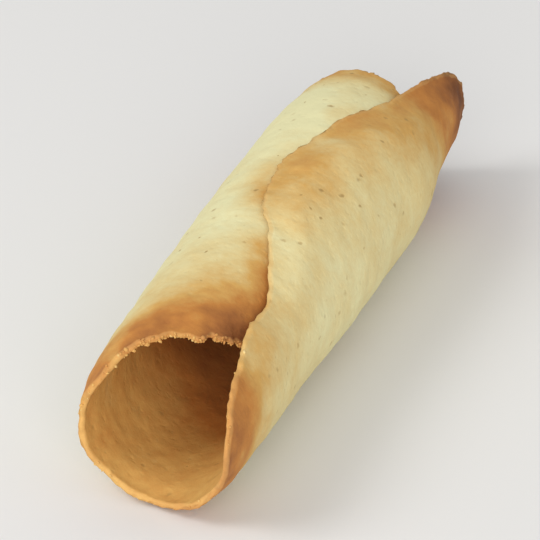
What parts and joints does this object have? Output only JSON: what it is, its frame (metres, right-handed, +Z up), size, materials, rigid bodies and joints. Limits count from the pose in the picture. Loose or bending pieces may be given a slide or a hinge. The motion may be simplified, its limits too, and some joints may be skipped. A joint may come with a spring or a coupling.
{
  "type": "cigarette cookie",
  "caption": "Rolled wafer cookie: a thin baked disc rolled into an open tube, with its overlapping seam on top and browned, ragged ends.",
  "frame": {"origin": "centre of the cookie's bounding box, on the surface it rests on", "axes": "+Y along the roll from its near mouth to its far end, +Z up through the seam, +X to the right of someone looking along +Y"},
  "size_m": [0.0204, 0.08, 0.0201],
  "materials": {
    "baked_wafer": "matt baked crumb"
  },
  "bodies": {
    "root": {"rolled_wafer": "baked_wafer"}
  },
  "joints": []
}
